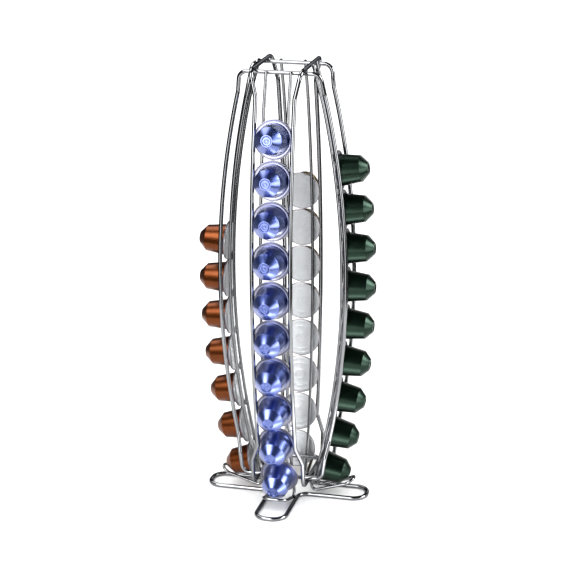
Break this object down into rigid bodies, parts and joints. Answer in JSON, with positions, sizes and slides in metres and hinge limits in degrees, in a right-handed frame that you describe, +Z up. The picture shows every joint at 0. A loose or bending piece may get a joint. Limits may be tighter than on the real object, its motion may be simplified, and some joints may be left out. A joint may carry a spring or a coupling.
{
  "type": "coffee capsule tower",
  "caption": "Free-standing chromed wire tower that stores coffee capsules in four bowed columns and lets the lowest one be drawn out over a stop loop.",
  "frame": {"origin": "on the table, at the centre of the lobed foot", "axes": "+Z up; the front column faces -Y, the right column faces +X"},
  "size_m": [0.1716, 0.1716, 0.428],
  "materials": {
    "chromed_wire": "polished",
    "blue_capsule": "satin",
    "green_capsule": "satin",
    "gold_capsule": "satin",
    "copper_capsule": "satin"
  },
  "bodies": {
    "frame": {"lobed_foot": "chromed_wire", "front_rail_hoop": "chromed_wire", "front_hairpin": "chromed_wire", "right_rail_hoop": "chromed_wire", "right_hairpin": "chromed_wire", "back_rail_hoop": "chromed_wire", "back_hairpin": "chromed_wire", "left_rail_hoop": "chromed_wire", "left_hairpin": "chromed_wire"},
    "front_capsule_01": {"front_capsule_01": "blue_capsule"},
    "front_capsule_02": {"front_capsule_02": "blue_capsule"},
    "front_capsule_03": {"front_capsule_03": "blue_capsule"},
    "front_capsule_04": {"front_capsule_04": "blue_capsule"},
    "front_capsule_05": {"front_capsule_05": "blue_capsule"},
    "front_capsule_06": {"front_capsule_06": "blue_capsule"},
    "front_capsule_07": {"front_capsule_07": "blue_capsule"},
    "front_capsule_08": {"front_capsule_08": "blue_capsule"},
    "front_capsule_09": {"front_capsule_09": "blue_capsule"},
    "front_capsule_10": {"front_capsule_10": "blue_capsule"},
    "right_capsule_01": {"right_capsule_01": "green_capsule"},
    "right_capsule_02": {"right_capsule_02": "green_capsule"},
    "right_capsule_03": {"right_capsule_03": "green_capsule"},
    "right_capsule_04": {"right_capsule_04": "green_capsule"},
    "right_capsule_05": {"right_capsule_05": "green_capsule"},
    "right_capsule_06": {"right_capsule_06": "green_capsule"},
    "right_capsule_07": {"right_capsule_07": "green_capsule"},
    "right_capsule_08": {"right_capsule_08": "green_capsule"},
    "right_capsule_09": {"right_capsule_09": "green_capsule"},
    "back_capsule_01": {"back_capsule_01": "gold_capsule"},
    "back_capsule_02": {"back_capsule_02": "gold_capsule"},
    "back_capsule_03": {"back_capsule_03": "gold_capsule"},
    "back_capsule_04": {"back_capsule_04": "gold_capsule"},
    "back_capsule_05": {"back_capsule_05": "gold_capsule"},
    "back_capsule_06": {"back_capsule_06": "gold_capsule"},
    "back_capsule_07": {"back_capsule_07": "gold_capsule"},
    "back_capsule_08": {"back_capsule_08": "gold_capsule"},
    "left_capsule_01": {"left_capsule_01": "copper_capsule"},
    "left_capsule_02": {"left_capsule_02": "copper_capsule"},
    "left_capsule_03": {"left_capsule_03": "copper_capsule"},
    "left_capsule_04": {"left_capsule_04": "copper_capsule"},
    "left_capsule_05": {"left_capsule_05": "copper_capsule"},
    "left_capsule_06": {"left_capsule_06": "copper_capsule"},
    "left_capsule_07": {"left_capsule_07": "copper_capsule"}
  },
  "joints": [
    {"name": "front_draw_out", "type": "slide", "parent": "frame", "child": "front_capsule_01", "axis": [0, -0.8387, 0.5446], "range_m": [0, 0.04]},
    {"name": "front_stack_02", "type": "hinge", "parent": "frame", "child": "front_capsule_02", "pos_m": [0, 0.7537, 0.221], "axis": [-1, 0, 0], "range_deg": [0, 2.26]},
    {"name": "front_stack_03", "type": "hinge", "parent": "frame", "child": "front_capsule_03", "pos_m": [0, 0.7537, 0.221], "axis": [-1, 0, 0], "range_deg": [0, 2.26]},
    {"name": "front_stack_04", "type": "hinge", "parent": "frame", "child": "front_capsule_04", "pos_m": [0, 0.7537, 0.221], "axis": [-1, 0, 0], "range_deg": [0, 2.26]},
    {"name": "front_stack_05", "type": "hinge", "parent": "frame", "child": "front_capsule_05", "pos_m": [0, 0.7537, 0.221], "axis": [-1, 0, 0], "range_deg": [0, 2.26]},
    {"name": "front_stack_06", "type": "hinge", "parent": "frame", "child": "front_capsule_06", "pos_m": [0, 0.7537, 0.221], "axis": [-1, 0, 0], "range_deg": [0, 2.26]},
    {"name": "front_stack_07", "type": "hinge", "parent": "frame", "child": "front_capsule_07", "pos_m": [0, 0.7537, 0.221], "axis": [-1, 0, 0], "range_deg": [0, 2.26]},
    {"name": "front_stack_08", "type": "hinge", "parent": "frame", "child": "front_capsule_08", "pos_m": [0, 0.7537, 0.221], "axis": [-1, 0, 0], "range_deg": [0, 2.26]},
    {"name": "front_stack_09", "type": "hinge", "parent": "frame", "child": "front_capsule_09", "pos_m": [0, 0.7537, 0.221], "axis": [-1, 0, 0], "range_deg": [0, 2.26]},
    {"name": "front_top_out", "type": "hinge", "parent": "front_capsule_09", "child": "front_capsule_10", "pos_m": [0, 0.7537, 0.221], "axis": [-1, 0, 0], "range_deg": [0, 5.08]},
    {"name": "right_draw_out", "type": "slide", "parent": "frame", "child": "right_capsule_01", "axis": [0.7771, 0, 0.6293], "range_m": [0, 0.04]},
    {"name": "right_stack_02", "type": "hinge", "parent": "frame", "child": "right_capsule_02", "pos_m": [-0.7537, 0, 0.221], "axis": [0, -1, 0], "range_deg": [0, 2.26]},
    {"name": "right_stack_03", "type": "hinge", "parent": "frame", "child": "right_capsule_03", "pos_m": [-0.7537, 0, 0.221], "axis": [0, -1, 0], "range_deg": [0, 2.26]},
    {"name": "right_stack_04", "type": "hinge", "parent": "frame", "child": "right_capsule_04", "pos_m": [-0.7537, 0, 0.221], "axis": [0, -1, 0], "range_deg": [0, 2.26]},
    {"name": "right_stack_05", "type": "hinge", "parent": "frame", "child": "right_capsule_05", "pos_m": [-0.7537, 0, 0.221], "axis": [0, -1, 0], "range_deg": [0, 2.26]},
    {"name": "right_stack_06", "type": "hinge", "parent": "frame", "child": "right_capsule_06", "pos_m": [-0.7537, 0, 0.221], "axis": [0, -1, 0], "range_deg": [0, 2.26]},
    {"name": "right_stack_07", "type": "hinge", "parent": "frame", "child": "right_capsule_07", "pos_m": [-0.7537, 0, 0.221], "axis": [0, -1, 0], "range_deg": [0, 2.26]},
    {"name": "right_stack_08", "type": "hinge", "parent": "frame", "child": "right_capsule_08", "pos_m": [-0.7537, 0, 0.221], "axis": [0, -1, 0], "range_deg": [0, 2.26]},
    {"name": "right_top_out", "type": "hinge", "parent": "right_capsule_08", "child": "right_capsule_09", "pos_m": [-0.7537, 0, 0.221], "axis": [0, -1, 0], "range_deg": [0, 7.74]},
    {"name": "back_draw_out", "type": "slide", "parent": "frame", "child": "back_capsule_01", "axis": [0, 0.8387, 0.5446], "range_m": [0, 0.04]},
    {"name": "back_stack_02", "type": "hinge", "parent": "frame", "child": "back_capsule_02", "pos_m": [0, -0.7537, 0.221], "axis": [1, 0, 0], "range_deg": [0, 2.26]},
    {"name": "back_stack_03", "type": "hinge", "parent": "frame", "child": "back_capsule_03", "pos_m": [0, -0.7537, 0.221], "axis": [1, 0, 0], "range_deg": [0, 2.26]},
    {"name": "back_stack_04", "type": "hinge", "parent": "frame", "child": "back_capsule_04", "pos_m": [0, -0.7537, 0.221], "axis": [1, 0, 0], "range_deg": [0, 2.26]},
    {"name": "back_stack_05", "type": "hinge", "parent": "frame", "child": "back_capsule_05", "pos_m": [0, -0.7537, 0.221], "axis": [1, 0, 0], "range_deg": [0, 2.26]},
    {"name": "back_stack_06", "type": "hinge", "parent": "frame", "child": "back_capsule_06", "pos_m": [0, -0.7537, 0.221], "axis": [1, 0, 0], "range_deg": [0, 2.26]},
    {"name": "back_stack_07", "type": "hinge", "parent": "frame", "child": "back_capsule_07", "pos_m": [0, -0.7537, 0.221], "axis": [1, 0, 0], "range_deg": [0, 2.26]},
    {"name": "back_top_out", "type": "hinge", "parent": "back_capsule_07", "child": "back_capsule_08", "pos_m": [0, -0.7537, 0.221], "axis": [1, 0, 0], "range_deg": [0, 10.4]},
    {"name": "left_draw_out", "type": "slide", "parent": "frame", "child": "left_capsule_01", "axis": [-0.7771, 0, 0.6293], "range_m": [0, 0.04]},
    {"name": "left_stack_02", "type": "hinge", "parent": "frame", "child": "left_capsule_02", "pos_m": [0.7537, 0, 0.221], "axis": [0, 1, 0], "range_deg": [0, 2.26]},
    {"name": "left_stack_03", "type": "hinge", "parent": "frame", "child": "left_capsule_03", "pos_m": [0.7537, 0, 0.221], "axis": [0, 1, 0], "range_deg": [0, 2.26]},
    {"name": "left_stack_04", "type": "hinge", "parent": "frame", "child": "left_capsule_04", "pos_m": [0.7537, 0, 0.221], "axis": [0, 1, 0], "range_deg": [0, 2.26]},
    {"name": "left_stack_05", "type": "hinge", "parent": "frame", "child": "left_capsule_05", "pos_m": [0.7537, 0, 0.221], "axis": [0, 1, 0], "range_deg": [0, 2.26]},
    {"name": "left_stack_06", "type": "hinge", "parent": "frame", "child": "left_capsule_06", "pos_m": [0.7537, 0, 0.221], "axis": [0, 1, 0], "range_deg": [0, 2.26]},
    {"name": "left_top_out", "type": "hinge", "parent": "left_capsule_06", "child": "left_capsule_07", "pos_m": [0.7537, 0, 0.221], "axis": [0, 1, 0], "range_deg": [0, 13.06]}
  ],
  "couplings": [
    {"joint": "front_stack_02", "follows": "front_draw_out", "rad_per_m": 0.98437},
    {"joint": "front_stack_03", "follows": "front_draw_out", "rad_per_m": 0.98437},
    {"joint": "front_stack_04", "follows": "front_draw_out", "rad_per_m": 0.98437},
    {"joint": "front_stack_05", "follows": "front_draw_out", "rad_per_m": 0.98437},
    {"joint": "front_stack_06", "follows": "front_draw_out", "rad_per_m": 0.98437},
    {"joint": "front_stack_07", "follows": "front_draw_out", "rad_per_m": 0.98437},
    {"joint": "front_stack_08", "follows": "front_draw_out", "rad_per_m": 0.98437},
    {"joint": "front_stack_09", "follows": "front_draw_out", "rad_per_m": 0.98437},
    {"joint": "right_stack_02", "follows": "right_draw_out", "rad_per_m": 0.98437},
    {"joint": "right_stack_03", "follows": "right_draw_out", "rad_per_m": 0.98437},
    {"joint": "right_stack_04", "follows": "right_draw_out", "rad_per_m": 0.98437},
    {"joint": "right_stack_05", "follows": "right_draw_out", "rad_per_m": 0.98437},
    {"joint": "right_stack_06", "follows": "right_draw_out", "rad_per_m": 0.98437},
    {"joint": "right_stack_07", "follows": "right_draw_out", "rad_per_m": 0.98437},
    {"joint": "right_stack_08", "follows": "right_draw_out", "rad_per_m": 0.98437},
    {"joint": "back_stack_02", "follows": "back_draw_out", "rad_per_m": 0.98437},
    {"joint": "back_stack_03", "follows": "back_draw_out", "rad_per_m": 0.98437},
    {"joint": "back_stack_04", "follows": "back_draw_out", "rad_per_m": 0.98437},
    {"joint": "back_stack_05", "follows": "back_draw_out", "rad_per_m": 0.98437},
    {"joint": "back_stack_06", "follows": "back_draw_out", "rad_per_m": 0.98437},
    {"joint": "back_stack_07", "follows": "back_draw_out", "rad_per_m": 0.98437},
    {"joint": "left_stack_02", "follows": "left_draw_out", "rad_per_m": 0.98437},
    {"joint": "left_stack_03", "follows": "left_draw_out", "rad_per_m": 0.98437},
    {"joint": "left_stack_04", "follows": "left_draw_out", "rad_per_m": 0.98437},
    {"joint": "left_stack_05", "follows": "left_draw_out", "rad_per_m": 0.98437},
    {"joint": "left_stack_06", "follows": "left_draw_out", "rad_per_m": 0.98437}
  ]
}
